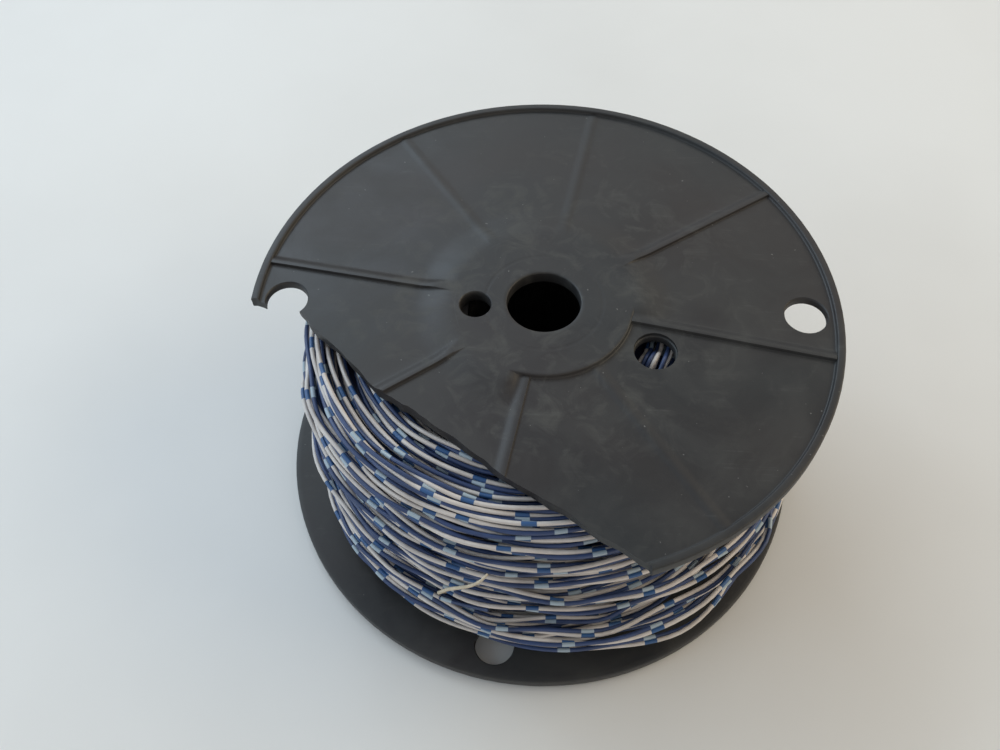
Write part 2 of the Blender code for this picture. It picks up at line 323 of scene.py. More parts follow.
def web_rise(radius):
    """How far the web has risen at a distance from the axis: evenly from the lip to the hub."""
    span = FLANGE_RADIUS - LIP_WIDTH - HUB_RADIUS
    share = (FLANGE_RADIUS - LIP_WIDTH - radius) / span
    return WEB_RISE * np.clip(share, 0.0, 1.0)


def flange_section():
    """Closed outline of the flange, outwards along its top face and back along its inside.

    Flats are straight runs of a few points and every edge is a small arc. Returns distance
    and height of each point and whether it lies on the ribbed part of the top face.
    """
    r = ROUNDING
    web = -WEB_DROP
    lip = -LIP_DROP
    inner = -INNER_DROP
    lip_inside = FLANGE_RADIUS - LIP_WIDTH
    end = inner - SPIGOT_LENGTH
    middle = (inner + end) / 2
    groove_inside = GROOVE_CIRCLE - GROOVE_HALF_WIDTH
    groove_outside = GROOVE_CIRCLE + GROOVE_HALF_WIDTH
    top = arc((BORE_RADIUS + r, -r), r, 180, 90)
    top += [(radius, 0.0) for radius in np.linspace(BORE_RADIUS + 3 * r, 12.6 * MM, 4)]
    top += [(groove_inside, 0.0), (GROOVE_CIRCLE, -GROOVE_DEPTH), (groove_outside, 0.0)]
    top += [(radius, 0.0) for radius in np.linspace(14 * MM, HUB_RADIUS - 2.5 * r, 5)]
    top += arc((HUB_RADIUS - r, -r), r, 90, 10)
    sweep = LIP_SWEEP
    ribbed = arc((HUB_RADIUS + 1.3 * r, web + WEB_RISE + r), r, 200, 270)
    flat = np.linspace(HUB_RADIUS + 3.5 * r, lip_inside - 1.5 * sweep, 34)
    ribbed += [(radius, web + web_rise(radius)) for radius in flat]
    ribbed += arc((lip_inside - sweep, web + sweep), sweep, 270, 325, 5)
    rim = arc((lip_inside + r, lip - r), r, 170, 90)
    rim += arc((FLANGE_RADIUS - r, lip - r), r, 90, 0)
    rim += [(FLANGE_RADIUS, (lip + inner) / 2)]
    rim += arc((FLANGE_RADIUS - r, inner + r), r, 0, -90)
    flat = np.linspace(FLANGE_RADIUS - 4 * r, SPIGOT_RADIUS + 2 * r, 12)
    inside = [(radius, inner) for radius in flat]
    inside += [(SPIGOT_RADIUS, inner - r / 4), (SPIGOT_RADIUS, middle)]
    inside += [(SPIGOT_RADIUS, end + r), (SPIGOT_RADIUS - r, end), (SPIGOT_INSIDE, end)]
    inside += [(SPIGOT_INSIDE, middle), (SPIGOT_INSIDE, -HUB_THICKNESS)]
    inside += [(12.0 * MM, -HUB_THICKNESS), (BORE_RADIUS + r / 2, -HUB_THICKNESS)]
    inside += [(BORE_RADIUS, -HUB_THICKNESS + r / 2), (BORE_RADIUS, -HUB_THICKNESS / 2)]
    points = np.array(top + ribbed + rim + inside)
    on_web = np.zeros(len(points), bool)
    on_web[len(top):len(top) + len(ribbed)] = True
    return points[:, 0], points[:, 1], on_web


def flange_columns(distance):
    """Angles of the grid's columns at each distance, and how far each lies off its rib's line.

    Columns near a rib keep a fixed distance from its middle line, and those between two ribs
    share the rest of the sector evenly. The second result is positive on the side of growing
    angle, and a metre between ribs.
    """
    off = np.array([0.0, 0.5, 0.8, 1.0, 1.1, 1.2, 1.35, 1.6, 2.0]) * MM
    between = np.linspace(0.0, 1.0, 15)[1:-1]
    lean = np.arcsin(np.clip(off[None, :] / distance[:, None], -1.0, 1.0))
    sector = TAU / RIB_COUNT
    spread = lean[:, -1:] + (sector - 2 * lean[:, -1:]) * between[None, :]
    one = np.concatenate([lean, spread, sector - lean[:, :0:-1]], 1)
    starts = RIB_FIRST_ANGLE + sector * np.arange(RIB_COUNT)
    angles = (starts[None, :, None] + one[:, None, :]).reshape(len(distance), -1)
    far = np.full((len(distance), len(between)), 1.0)
    near = np.broadcast_to(off, (len(distance), len(off)))
    one_off = np.concatenate([near, far, -near[:, :0:-1]], 1)
    offsets = np.tile(one_off, (1, RIB_COUNT))
    return angles, offsets


def rib_raise(distance, angles, offsets):
    """How far the ribs stand above the web, each at its own height and rounded off.

    The flank towards the front drops over a quarter of a millimetre, except on the lowest ribs.
    The other one eases down over more than two millimetres.
    """
    sector = TAU / RIB_COUNT
    number = np.rint((angles - RIB_FIRST_ANGLE) / sector).astype(int) % RIB_COUNT
    frontwards = -np.sign(np.cos(RIB_FIRST_ANGLE + sector * number))
    off = offsets * frontwards
    rib_height = np.array(RIB_HEIGHTS)[number]
    steep = 1.0 - smoothly(RIB_HALF_WIDTH - 0.15 * MM, RIB_HALF_WIDTH + 0.10 * MM, off)
    eased = 1.0 - smoothly(RIB_HALF_WIDTH - 1.0 * MM, RIB_HALF_WIDTH + 0.8 * MM, off)
    front = np.where(rib_height < SOFT_RIB_HEIGHT, eased, steep)
    back = smoothly(-RIB_HALF_WIDTH - 0.8 * MM, -RIB_HALF_WIDTH + 1.6 * MM, off)
    return rib_height * MM * front * back


def flush_rise(distance, angles, height):
    """Rise that brings a height up level with the hub near it, except along the stepped stretch."""
    away = (np.degrees(angles) - STEP_MIDDLE + 180.0) % 360.0 - 180.0
    share = smoothly(STEP_REACH, STEP_REACH + STEP_FADE, np.abs(away))
    near = 1.0 - smoothly(HUB_RADIUS + FLUSH_START, HUB_RADIUS + FLUSH_RAMP, distance)
    return np.maximum(0.0, -height)[:, None] * share * near[:, None]


def flange_blank():
    """Whole flange without holes: the section turned round the axis, raised where a rib runs.

    The web sinks and rises by some hundredths of a millimetre in slow waves, as thin mouldings
    do, and stays at or below the hub's face.
    """
    distance, height, on_web = flange_section()
    angles, offsets = flange_columns(distance)
    edge_or_web = on_web | ((distance > HUB_RADIUS - ROUNDING) & (height > -HUB_THICKNESS / 4))
    floor = height[:, None] + flush_rise(distance, angles, height) * edge_or_web[:, None]
    web = -WEB_DROP + web_rise(distance)
    ribs = rib_raise(distance, angles, offsets)
    rib_top = web[:, None] + flush_rise(distance, angles, web) + ribs
    ribbed = on_web[:, None] & (ribs > 0.0)
    heights = np.where(ribbed, np.maximum(floor, np.minimum(rib_top, -RIB_BELOW_HUB)), floor)
    x = distance[:, None] * np.cos(angles)
    y = distance[:, None] * np.sin(angles)
    wave = np.sin(x / (17 * MM) + 0.4) * np.sin(y / (13 * MM) + 1.1)
    wave += 0.6 * np.sin((x + y) / (9 * MM)) * np.cos((x - 1.7 * y) / (11 * MM))
    heights = np.minimum(heights + WAVE_HEIGHT * wave * on_web[:, None], 0.0)
    points = np.stack([x, y, heights], -1).reshape(-1, 3)
    quads = grid_faces(len(distance), angles.shape[1], True, True)
    return new_piece("flange_blank", new_mesh("flange_blank", points, quads))


def turned_mesh(name, section, columns):
    """Closed section, outwards along its top first, turned round the spool's axis."""
    section = np.array(section)
    turn = np.linspace(0.0, TAU, columns, endpoint=False)
    x = section[:, :1] * np.cos(turn)
    y = section[:, :1] * np.sin(turn)
    z = np.broadcast_to(section[:, 1:], x.shape)
    points = np.stack([x, y, z], -1).reshape(-1, 3)
    return new_mesh(name, points, grid_faces(len(section), columns, True, True))


def hole_cutter(radius, distance, degrees, face):
    """A plug that flares where it meets the faces, so the hole's edges are eased."""
    angle = math.radians(degrees)
    centre = (distance * math.cos(angle), distance * math.sin(angle))
    ease = HOLE_EASE
    inner = -HUB_THICKNESS if face == 0.0 else -INNER_DROP
    high = face + 2 * MM
    low = inner - 1 * MM
    profile = [(radius + ease, high), (radius + ease, face + 0.05 * MM)]
    profile += [(radius + 0.1 * MM, face - 0.12 * MM), (radius, face - ease)]
    profile += [(radius, inner + ease), (radius + ease, inner - 0.02 * MM), (radius + ease, low)]
    profile = np.array(profile)
    turn = -np.linspace(0.0, TAU, 72, endpoint=False)
    x = centre[0] + profile[:, :1] * np.cos(turn)
    y = centre[1] + profile[:, :1] * np.sin(turn)
    loops = np.stack([x, y, np.broadcast_to(profile[:, 1:], x.shape)], -1)
    points, quads, triangles = closed_wall(loops, (*centre, high), (*centre, low))
    return new_piece("hole_cutter", new_mesh("hole_cutter", points, quads, triangles))


def slot_cutter(turn):
    """Block that parts the spigot into lugs: a plain box turned round the axis."""
    top = -INNER_DROP - 0.3 * MM
    bottom = -INNER_DROP - SPIGOT_LENGTH - 1 * MM
    near = SPIGOT_INSIDE - 1 * MM
    far = SPIGOT_RADIUS + 1 * MM
    half = SPIGOT_SLOT_WIDTH / 2
    square = ((near, -half), (far, -half), (far, half), (near, half))
    corners = np.array([(x, y, z) for z in (bottom, top) for x, y in square])
    spin = np.array(Matrix.Rotation(turn, 3, "Z"))
    quads = np.array(
        [(3, 2, 1, 0), (4, 5, 6, 7), (0, 1, 5, 4), (1, 2, 6, 5), (2, 3, 7, 6), (3, 0, 4, 7)]
    )
    return new_piece("slot_cutter", new_mesh("slot_cutter", corners @ spin.T, quads))


def crack_cutter():
    """The missing piece with a rough edge: the crack's line, stepped finely and pushed sideways.

    The push is layered smooth noise that changes a little from the top face to the inside, as
    a brittle break does.
    """
    line = np.array(CRACK) * FLANGE_RADIUS
    span = np.hypot(*np.diff(line, axis=0).T)
    along = np.concatenate([[0.0], np.cumsum(span)])
    fine = np.linspace(0.0, along[-1], CRACK_STEPS)
    x = np.interp(fine, along, line[:, 0])
    y = np.interp(fine, along, line[:, 1])
    across = np.stack([np.gradient(y), -np.gradient(x)], -1)
    across /= np.linalg.norm(across, axis=1)[:, None]
    levels = np.linspace(1.5 * MM, -INNER_DROP - 1.5 * MM, 9)
    rough = 0.28 * wander(CRACK_STEPS, 40, 1) + 0.16 * wander(CRACK_STEPS, 13, 2)
    wall = []
    for row, level in enumerate(levels):
        fine_grain = 0.07 * wander(CRACK_STEPS, 5, 10 + row)
        coarse_grain = 0.10 * wander(CRACK_STEPS, 15, 30 + row // 3)
        push = (rough + (fine_grain + coarse_grain)) * MM
        pushed_x = x + across[:, 0] * push
        pushed_y = y + across[:, 1] * push
        wall.append(np.stack([pushed_x, pushed_y, np.full(CRACK_STEPS, level)], -1))
    outer = 1.6 * FLANGE_RADIUS
    corners = np.array([(0.0, -outer), (-outer, -outer), (-outer, 0.0)])
    back = np.stack([np.column_stack([corners, np.full(3, level)]) for level in levels])
    loops = np.concatenate([np.stack(wall), back], 1)
    middle = (-0.8 * outer, -0.8 * outer)
    points, quads, triangles = closed_wall(loops, (*middle, levels[0]), (*middle, levels[-1]))
    return new_piece("crack_cutter", new_mesh("crack_cutter", points, quads, triangles))


def finished(piece, name, place, material):
    """Move a mesh to its place, shade it and give it its name and material."""
    mesh = piece.data
    mesh.transform(place)
    mesh.name = name
    piece.name = name
    mesh.materials.clear()
    mesh.materials.append(material)
    mesh.shade_smooth()
    mesh.set_sharp_from_angle(angle=SHARP_ANGLE)
    return piece


def make_flanges(plastic):
    """Both flanges from one blank: the lower one turned over, the upper one broken."""
    blank = flange_blank()
    for hole in HOLES:
        cut(blank, hole_cutter(*hole))
    pin_degrees = PIN_HOLE[2]
    for number in range(SLOT_COUNT):
        cut(blank, slot_cutter(math.radians(pin_degrees) + number * TAU / SLOT_COUNT))
    lower = new_piece("lower", blank.data.copy())
    cut(blank, crack_cutter())
    turned_over = Matrix.Rotation(LOWER_TURN, 4, "Z") @ Matrix.Rotation(math.pi, 4, "X")
    upper = finished(blank, "upper_flange_shell", Matrix.Translation((0, 0, WIDTH)), plastic)
    lower = finished(lower, "lower_flange_shell", turned_over, plastic)
    for piece, node in ((upper, "upper_flange"), (lower, "lower_flange")):
        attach(piece, "root")
        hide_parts(node)


# Winding ---------------------------------------------------------------------------------------
class Outline:
    """Outside of the tight turns in section: over the top face, down the side, under the bottom.

    Every place along it has a distance from the axis, a height, and a direction straight out.
    """

    step = 0.08 * MM

    def __init__(self):
        top = WOUND_TOP - FACE_GAP
        bottom = WOUND_BOTTOM + FACE_GAP
        turn = np.radians(np.linspace(90, 6, 24))
        centre = (WOUND_RADIUS - SHOULDER_LEAN - SHOULDER_ROUNDING, top - SHOULDER_ROUNDING)
        shoulder = np.stack([np.cos(turn), np.sin(turn)], -1) * SHOULDER_ROUNDING + centre
        rise = np.linspace(1.0, 0.0, 30)
        side_top = centre[1]
        side = np.stack(
            [
                WOUND_RADIUS - SHOULDER_LEAN * rise ** 2,
                side_top - (1.0 - rise) * SHOULDER_DEPTH,
            ],
            -1,
        )
        turn = np.radians(np.linspace(0, -90, 16))
        centre = (WOUND_RADIUS - FOOT_ROUNDING, bottom + FOOT_ROUNDING)
        foot = np.stack([np.cos(turn), np.sin(turn)], -1) * FOOT_ROUNDING + centre
        innermost = DRUM_RADIUS + 1.5 * MM
        start = [(innermost, top)]
        end = [(innermost, bottom)]
        corners = np.concatenate([start, shoulder, side[1:], foot, end])
        along = length_along(corners)
        even = np.arange(0.0, along[-1], self.step)
        distance = blurred(np.interp(even, along, corners[:, 0]), 10)
        height = blurred(np.interp(even, along, corners[:, 1]), 10)
        out = np.stack([-np.gradient(height), np.gradient(distance)], -1)
        out /= np.linalg.norm(out, axis=1)[:, None]
        self.places = even
        self.distance = distance
        self.height = height
        self.out = out

    def place_at(self, height):
        """Place on the side where the outline is at this height."""
        side = slice(int(np.argmax(self.distance > WOUND_RADIUS - SHOULDER_LEAN)), None)
        return np.interp(-height, -self.height[side], self.places[side])

    def points(self, place, lift, turn):
        """Points in space for places along the outline, raised straight out, at angles round.

        Near the wire window the turns under the upper flange bulge up into it.
        """
        distance = np.interp(place, self.places, self.distance)
        height = np.interp(place, self.places, self.height)
        distance = distance + lift * np.interp(place, self.places, self.out[:, 0])
        height = height + lift * np.interp(place, self.places, self.out[:, 1])
        high = WOUND_TOP - WIRE_RADIUS
        height = np.clip(height, WOUND_BOTTOM + WIRE_RADIUS, high)
        x = distance * np.cos(turn)
        y = distance * np.sin(turn)
        radius, circle, degrees, _ = WIRE_WINDOW
        angle = math.radians(degrees)
        away = np.hypot(x - circle * math.cos(angle), y - circle * math.sin(angle))
        bulge = 1.0 - smoothly(radius / 6, radius - 0.3 * MM, away)
        near_top = smoothly(high - 5 * MM, high - 3 * MM, height)
        return np.stack([x, y, height + WINDOW_BULGE * bulge * near_top], -1)


class Wound:
    """What is wound so far: its height on a grid of angles round, and places along, the outline."""

    reach = int(WIRE_RADIUS / Outline.step)
    offsets = np.arange(-reach, reach + 1)
    crown = np.sqrt(WIRE_RADIUS ** 2 - (offsets * Outline.step) ** 2)
    columns = np.arange(COLUMNS)[:, None]

    def __init__(self, outline, depth):
        self.outline = outline
        self.height = np.full((COLUMNS, len(outline.places)), -depth)

    def cells(self, place):
        """Cells that a wire covers, one row of them for each angle round."""
        middle = np.rint(place / Outline.step).astype(int)
        return np.clip(middle[:, None] + self.offsets, 0, len(self.outline.places) - 1)

    def rest(self, place, before, passes):
        """Height at which a taut wire clears the surface, bridging the dips between high spots."""
        floor = (self.height[self.columns, self.cells(place)] + self.crown).max(1)
        line = floor
        first = floor[:1] if before is None else np.array([before])
        for _ in range(passes):
            left = np.concatenate([first, line[:-1]])
            right = np.concatenate([line[1:], line[-1:]])
            line = np.maximum(floor, (left + 2 * line + right) / 4)
        return line

    def add(self, place, line):
        """Note a wire that is laid along these places with its middle at these heights."""
        np.maximum.at(self.height, (self.columns, self.cells(place)), line[:, None] + self.crown)

    def lay(self, middle, twist, lift):
        """Lay both conductors of the pair along a path of whole turns, the lower one first.

        They lie a wire's width apart round the pair's middle, at an angle that is the twist:
        side by side both touch what is below, and where they cross one lies on the other.
        Returns the place and height of the white, then of the blue conductor.
        """
        side = 1.02 * WIRE_RADIUS * np.cos(twist)
        end = self.outline.places[-1]
        white = np.clip(middle + side, 0.0, end)
        blue = np.clip(middle - side, 0.0, end)
        white_below = np.sin(twist) < 0
        below = np.where(white_below, white, blue)
        above = np.where(white_below, blue, white)
        low_line = np.empty_like(middle)
        high_line = np.empty_like(middle)
        before = [None, None]
        for start in range(0, len(middle), COLUMNS):
            turn = slice(start, start + COLUMNS)
            rest = self.rest(below[turn], before[0], TAUT_PASSES)
            rest_end = rest[-1]
            low_line[turn] = np.minimum(rest + lift[turn], np.maximum(rest, LOOSEST))
            self.add(below[turn], low_line[turn])
            rest = self.rest(above[turn], before[1], CLOSE_PASSES)
            high_line[turn] = np.maximum(rest, low_line[turn])
            self.add(above[turn], high_line[turn])
            before = [rest_end, high_line[start + COLUMNS - 1]]
        white_line = np.where(white_below, low_line, high_line)
        blue_line = np.where(white_below, high_line, low_line)
        return white, blurred(white_line, 1.3), blue, blurred(blue_line, 1.3)


def angles_of(count):
    """Angles round the axis of that many samples of a path."""
    return SEAM_ANGLE + TAU * np.arange(count) / COLUMNS


def twist_along(radius, seed):
    """Twist angle at each sample: length wound divided by the lay, with slow drift."""
    length = np.cumsum(radius) * TAU / COLUMNS
    return TAU * length / TWIST_LENGTH + TWIST_DRIFT * wander(len(radius), 90, seed)


def length_along(path):
    """Length from the path's start to each of its points."""
    step = np.linalg.norm(np.diff(path, axis=0), axis=1)
    return np.concatenate([[0.0], np.cumsum(step)])


def tight_layer(outline, start, end, pitch, ripple, slant, seed):
    """Path of one layer from one place on the outline to another, with ripples and slants.

    A slant moves one side of a turn along and the other back, so that turns cross those below
    at a small angle. Both grow and fade from turn to turn.
    """
    turns = int(abs(end - start) / pitch)
    count = turns * COLUMNS
    middle = np.linspace(start, end, count)
    lean = slant * wander(count, 1.7 * COLUMNS, seed)
    side = 6.0 * wander(count, 3.1 * COLUMNS, seed + 1)
    middle = middle + lean * np.sin(angles_of(count) + side)
    middle = middle + ripple * wander(count, 0.23 * COLUMNS, seed + 2)
    return np.clip(middle, 0.6 * MM, outline.places[-1] - 0.6 * MM)


def loose_turns(outline):
    """The outside turns: they drift across, lie on the winding and bow out at one side.

    Gives their path, and how far off the winding they stand: a bell curve round the side
    where they are loose, with a slow waver.
    """
    turns = len(LOOSE_TURNS) - 1
    count = turns * COLUMNS
    place = np.arange(count) / COLUMNS
    heights, stands = np.array(LOOSE_TURNS).T * MM
    height = blurred(np.interp(place, np.arange(turns + 1), heights), 0.12 * COLUMNS)
    height = height + 0.9 * MM * wander(count, 0.31 * COLUMNS, 71)
    away = (np.degrees(angles_of(count)) - LOOSE_SIDE + 180.0) % 360.0 - 180.0
    bow = np.exp(-((away / LOOSE_SPREAD) ** 2))
    lift = np.interp(place, np.arange(turns + 1), stands) * bow
    lift = lift + 0.35 * MM * bow * wander(count, 0.2 * COLUMNS, 72)
    return outline.place_at(height), np.maximum(lift, 0.0)


def tube(path, radius, sides):
    """Round wire along a path: circles square to it, joined, with a fan closing each end.

    The circle is set out from the direction away from the spool's axis, so it doesn't turn
    along the way. Returns points, quads and triangles.
    """
    tangent = np.gradient(path, axis=0)
    tangent /= np.linalg.norm(tangent, axis=1)[:, None]
    outwards = path * np.array([1.0, 1.0, 0.0])
    outwards = outwards - (outwards * tangent).sum(1)[:, None] * tangent
    outwards /= np.linalg.norm(outwards, axis=1)[:, None]
    sideways = np.cross(tangent, outwards)
    turn = np.linspace(0.0, TAU, sides, endpoint=False)[None, :, None]
    ring = np.cos(turn) * outwards[:, None] + np.sin(turn) * sideways[:, None]
    radius = np.broadcast_to(np.asarray(radius, float), (len(path),))
    loops = path[:, None] + radius[:, None, None] * ring
    return closed_wall(loops, path[0], path[-1])


def wire_piece(name, path, along, radius, sides, material):
    """A stretch of wire whose UV map holds the length along the pair and the share round it."""
    points, quads, triangles = tube(path, radius, sides)
    mesh = new_mesh(name, points, quads, triangles)
    ring = quads // sides
    spoke = quads % sides
    # The last quad of each ring closes it, so its far corners count a whole turn on.
    closing = (spoke.max(1) == sides - 1) & (spoke.min(1) == 0)
    share = (spoke + np.where(closing[:, None] & (spoke == 0), sides, 0)) / sides
    side_uv = np.stack([along[ring], share], -1).reshape(-1, 2)
    ends = np.repeat([along[0], along[-1]], 3 * sides)
    end_uv = np.stack([ends, np.full(len(ends), 0.5)], -1)
    layer = mesh.uv_layers.new(name="along_wire")
    layer.uv.foreach_set("vector", np.concatenate([side_uv, end_uv]).astype(np.float32).ravel())
    mesh.shade_smooth()
    return new_piece(name, mesh, material)


def make_turns(name, wound, middle, lift, sides, seed, insulation, nodes):
    """Lay one run of the pair and make a piece of each conductor."""
    outline = wound.outline
    radius = np.interp(middle, outline.places, outline.distance)
    twist = twist_along(radius, seed)
    white, white_line, blue, blue_line = wound.lay(middle, twist, lift)
    turn = angles_of(len(middle))
    white_path = outline.points(white, white_line, turn)
    blue_path = outline.points(blue, blue_line, turn)
    along = length_along((white_path + blue_path) / 2)
    for colour, path in (("white", white_path), ("blue", blue_path)):
        full_name = f"{colour}_wire_{name}"
        piece = wire_piece(full_name, path, along, WIRE_RADIUS, sides, insulation[colour])
        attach(piece, "root")
        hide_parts(*nodes)


def make_winding(insulation):
    """Two layers over the whole winding, and the loose turns on top of them."""
    outline = Outline()
    wound = Wound(outline, LAID_DEPTH)
    first = LAYER_MARGIN
    last = outline.places[-1] - LAYER_MARGIN
    deep = tight_layer(outline, first, last, PAIR_PITCH, 0.20 * MM, 0.5 * MM, 11)
    outer = tight_layer(outline, last, first, 1.05 * PAIR_PITCH, 0.35 * MM, 1.0 * MM, 21)
    loose, lift = loose_turns(outline)
    loose_nodes = [f"loose_turn_{number + 1}" for number in range(LOOSE_NODES)]
    runs = (
        ("deep_turns", deep, np.zeros_like(deep), 6, 10, ["winding_inner"]),
        ("outer_turns", outer, np.zeros_like(outer), 8, 11, ["winding_outer"]),
        ("loose_turns", loose, lift, 10, 11, loose_nodes),
    )
    for name, middle, stand_off, sides, seed, nodes in runs:
        make_turns(name, wound, middle, stand_off, sides, seed, insulation, nodes)


def make_core(material):
    """The hidden layers as one ring, a little inside the turns that cover it."""
    low = WOUND_BOTTOM + FACE_GAP + LAID_DEPTH
    high = WOUND_TOP - FACE_GAP - LAID_DEPTH
    inner = DRUM_RADIUS + CORE_GAP
    outer = WOUND_RADIUS - LAID_DEPTH
    section = [(inner, high), (outer - SHOULDER_LEAN - 2 * MM, high)]
    section += [(outer, high - SHOULDER_DEPTH), (outer, low), (inner, low)]
    piece = new_piece("winding_core", turned_mesh("winding_core", section, 96), material)
    piece.data.shade_smooth()
    piece.data.set_sharp_from_angle(angle=SHARP_ANGLE)
    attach(piece, "root")


def smooth_route(route):
    """Smooth curve near a few points given as angle, height share and lift off the winding."""
    route = np.array(route)
    fine = np.linspace(0, len(route) - 1, ROUTE_POINTS)
    knots = np.arange(len(route))
    degrees, share, lift = (blurred(np.interp(fine, knots, column), 2.5) for column in route.T)
    radius = WOUND_RADIUS + lift * MM
    z = WOUND_BOTTOM + share * (WOUND_TOP - WOUND_BOTTOM)
    turn = np.radians(degrees)
    return np.stack([radius * np.cos(turn), radius * np.sin(turn), z], -1)


def make_wire_ends(insulation, strand):
    """The cut ends: a pale strand that is drawn out thin towards its tip, and a blue stub."""
    share = np.linspace(0.0, 1.0, ROUTE_POINTS)
    thin = STRAND_RADIUS - STRAND_THINNING * share ** 3
    ends = (
        ("white", STRAND_ROUTE, thin, strand),
        ("blue", BLUE_END_ROUTE, BLUE_END_RADIUS, insulation["blue"]),
    )
    for colour, route, radius, material in ends:
        path = smooth_route(route)
        name = f"{colour}_wire_cut_end"
        piece = wire_piece(name, path, length_along(path), radius, 12, material)
        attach(piece, "root")
        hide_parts(f"{colour}_wire_end")


# Materials -------------------------------------------------------------------------------------
class Finish:
    """A new material with short ways to add and join its nodes."""

    def __init__(self, name):
        self.material = bpy.data.materials.new(name)
        self.material.use_nodes = True
        self.tree = self.material.node_tree
        self.shader = self.tree.nodes["Principled BSDF"]

    def add(self, kind, **settings):
        node = self.tree.nodes.new(kind)
        for key, value in settings.items():
            setattr(node, key, value)
        return node

    def join(self, output, target):
        self.tree.links.new(output, target)

    def place(self, scale=(1.0, 1.0, 1.0), turn=0.0):
        """Object coordinates, stretched and turned about Z."""
        source = self.add("ShaderNodeTexCoord")
        mapping = self.add("ShaderNodeMapping")
        mapping.inputs["Scale"].default_value = scale
        mapping.inputs["Rotation"].default_value = (0.0, 0.0, turn)
        self.join(source.outputs["Object"], mapping.inputs["Vector"])
        return mapping.outputs["Vector"]

    def noise(self, place, scale, detail=4.0, roughness=0.55, distortion=0.0):
        node = self.add("ShaderNodeTexNoise")
        node.inputs["Scale"].default_value = scale
        node.inputs["Detail"].default_value = detail
        node.inputs["Roughness"].default_value = roughness
        node.inputs["Distortion"].default_value = distortion
        self.join(place, node.inputs["Vector"])
        return node.outputs["Fac"]

    def remap(self, value, low, high, new_low, new_high):
        node = self.add("ShaderNodeMapRange")
        node.inputs["From Min"].default_value = low
        node.inputs["From Max"].default_value = high
        node.inputs["To Min"].default_value = new_low
        node.inputs["To Max"].default_value = new_high
        self.join(value, node.inputs["Value"])
        return node.outputs["Result"]

    def math(self, operation, first, second=None):
        node = self.add("ShaderNodeMath", operation=operation)
        for socket, value in zip(node.inputs, (first, second)):
            if isinstance(value, (int, float)):
                socket.default_value = value
            elif value is not None:
                self.join(value, socket)
        return node.outputs[0]

    def mix(self, share, first, second):
        node = self.add("ShaderNodeMix", data_type="RGBA")
        self.join(share, node.inputs["Factor"])
        for socket, value in ((node.inputs[6], first), (node.inputs[7], second)):
            if isinstance(value, tuple):
                socket.default_value = (*value, 1.0)
            else:
                self.join(value, socket)
        return node.outputs[2]

    def bump(self, height, distance, strength, onto=None):
        node = self.add("ShaderNodeBump")
        node.inputs["Strength"].default_value = strength
        node.inputs["Distance"].default_value = distance
        self.join(height, node.inputs["Height"])
        if onto is not None:
            self.join(onto, node.inputs["Normal"])
        return node.outputs["Normal"]


def scuffed_plastic():
    """Moulded black plastic gone grey: slow warm and cool patches, smudges and a painted hub sheen.

    The painted sheen lightens the smudges; it is strongest inside a radius of about 30 mm and
    has faded out at 50 mm.
    """
    finish = Finish("scuffed_black_plastic")
    plain = finish.place()
    tint = finish.remap(finish.noise(plain, 17.0, 2.0, 0.5, 0.4), 0.38, 0.62, 0.0, 1.0)
    haze = finish.remap(finish.noise(plain, 44.0, 7.0, 0.64, 1.0), 0.38, 0.66, 0.0, 1.0)
    smudge = finish.remap(finish.noise(plain, 130.0, 5.0, 0.65, 1.2), 0.50, 0.74, 0.0, 1.0)
    flat_place = finish.place((1.0, 1.0, 0.0))
    distance = finish.add("ShaderNodeVectorMath", operation="LENGTH")
    finish.join(flat_place, distance.inputs[0])
    # Painted sheen: lighter colour towards the hub, where light falls as a sheen, strongest near
    # the axis.
    hub_sheen = finish.remap(distance.outputs["Value"], 0.028, 0.052, 1.0, 0.22)
    scuffs = None
    for turn, length, width in ((0.5, 60.0, 1300.0), (1.9, 45.0, 900.0), (2.7, 90.0, 1700.0)):
        place = finish.place((length, width, 60.0), turn)
        line = finish.remap(finish.noise(place, 1.0, 2.0, 0.5), 0.62, 0.78, 0.0, 1.0)
        scuffs = line if scuffs is None else finish.math("MAXIMUM", scuffs, line)
    worn = finish.math("MULTIPLY", scuffs, smudge)
    specks = finish.remap(finish.noise(plain, 900.0, 1.0, 0.5), 0.79, 0.81, 0.0, 1.0)
    base = finish.mix(tint, (0.0200, 0.0165, 0.0165), (0.0145, 0.0165, 0.0185))
    base = finish.mix(finish.math("MULTIPLY", haze, 0.50), base, (0.038, 0.038, 0.037))
    # Real smudges, lightened near the hub as painted sheen.
    smudges_and_hub_sheen = finish.math("MULTIPLY", smudge, hub_sheen)
    base = finish.mix(finish.math("MULTIPLY", smudges_and_hub_sheen, 0.65), base, (0.070, 0.070, 0.063))
    base = finish.mix(finish.math("MULTIPLY", worn, 0.45), base, (0.085, 0.085, 0.083))
    base = finish.mix(finish.math("MULTIPLY", specks, 0.5), base, (0.22, 0.22, 0.21))
    finish.join(base, finish.shader.inputs["Base Color"])
    rough = finish.remap(haze, 0.0, 1.0, 0.44, 0.56)
    rough = finish.math("ADD", rough, finish.math("MULTIPLY", smudges_and_hub_sheen, 0.10))
    finish.join(rough, finish.shader.inputs["Roughness"])
    grain = finish.noise(plain, 2600.0, 3.0, 0.6)
    normal = finish.bump(grain, 0.00003, 0.35)
    normal = finish.bump(worn, 0.00002, 0.5, normal)
    normal = finish.bump(finish.noise(plain, 75.0, 3.0), 0.0003, 0.25, normal)
    finish.join(normal, finish.shader.inputs["Normal"])
    finish.shader.inputs["Specular IOR Level"].default_value = 0.5
    return finish.material


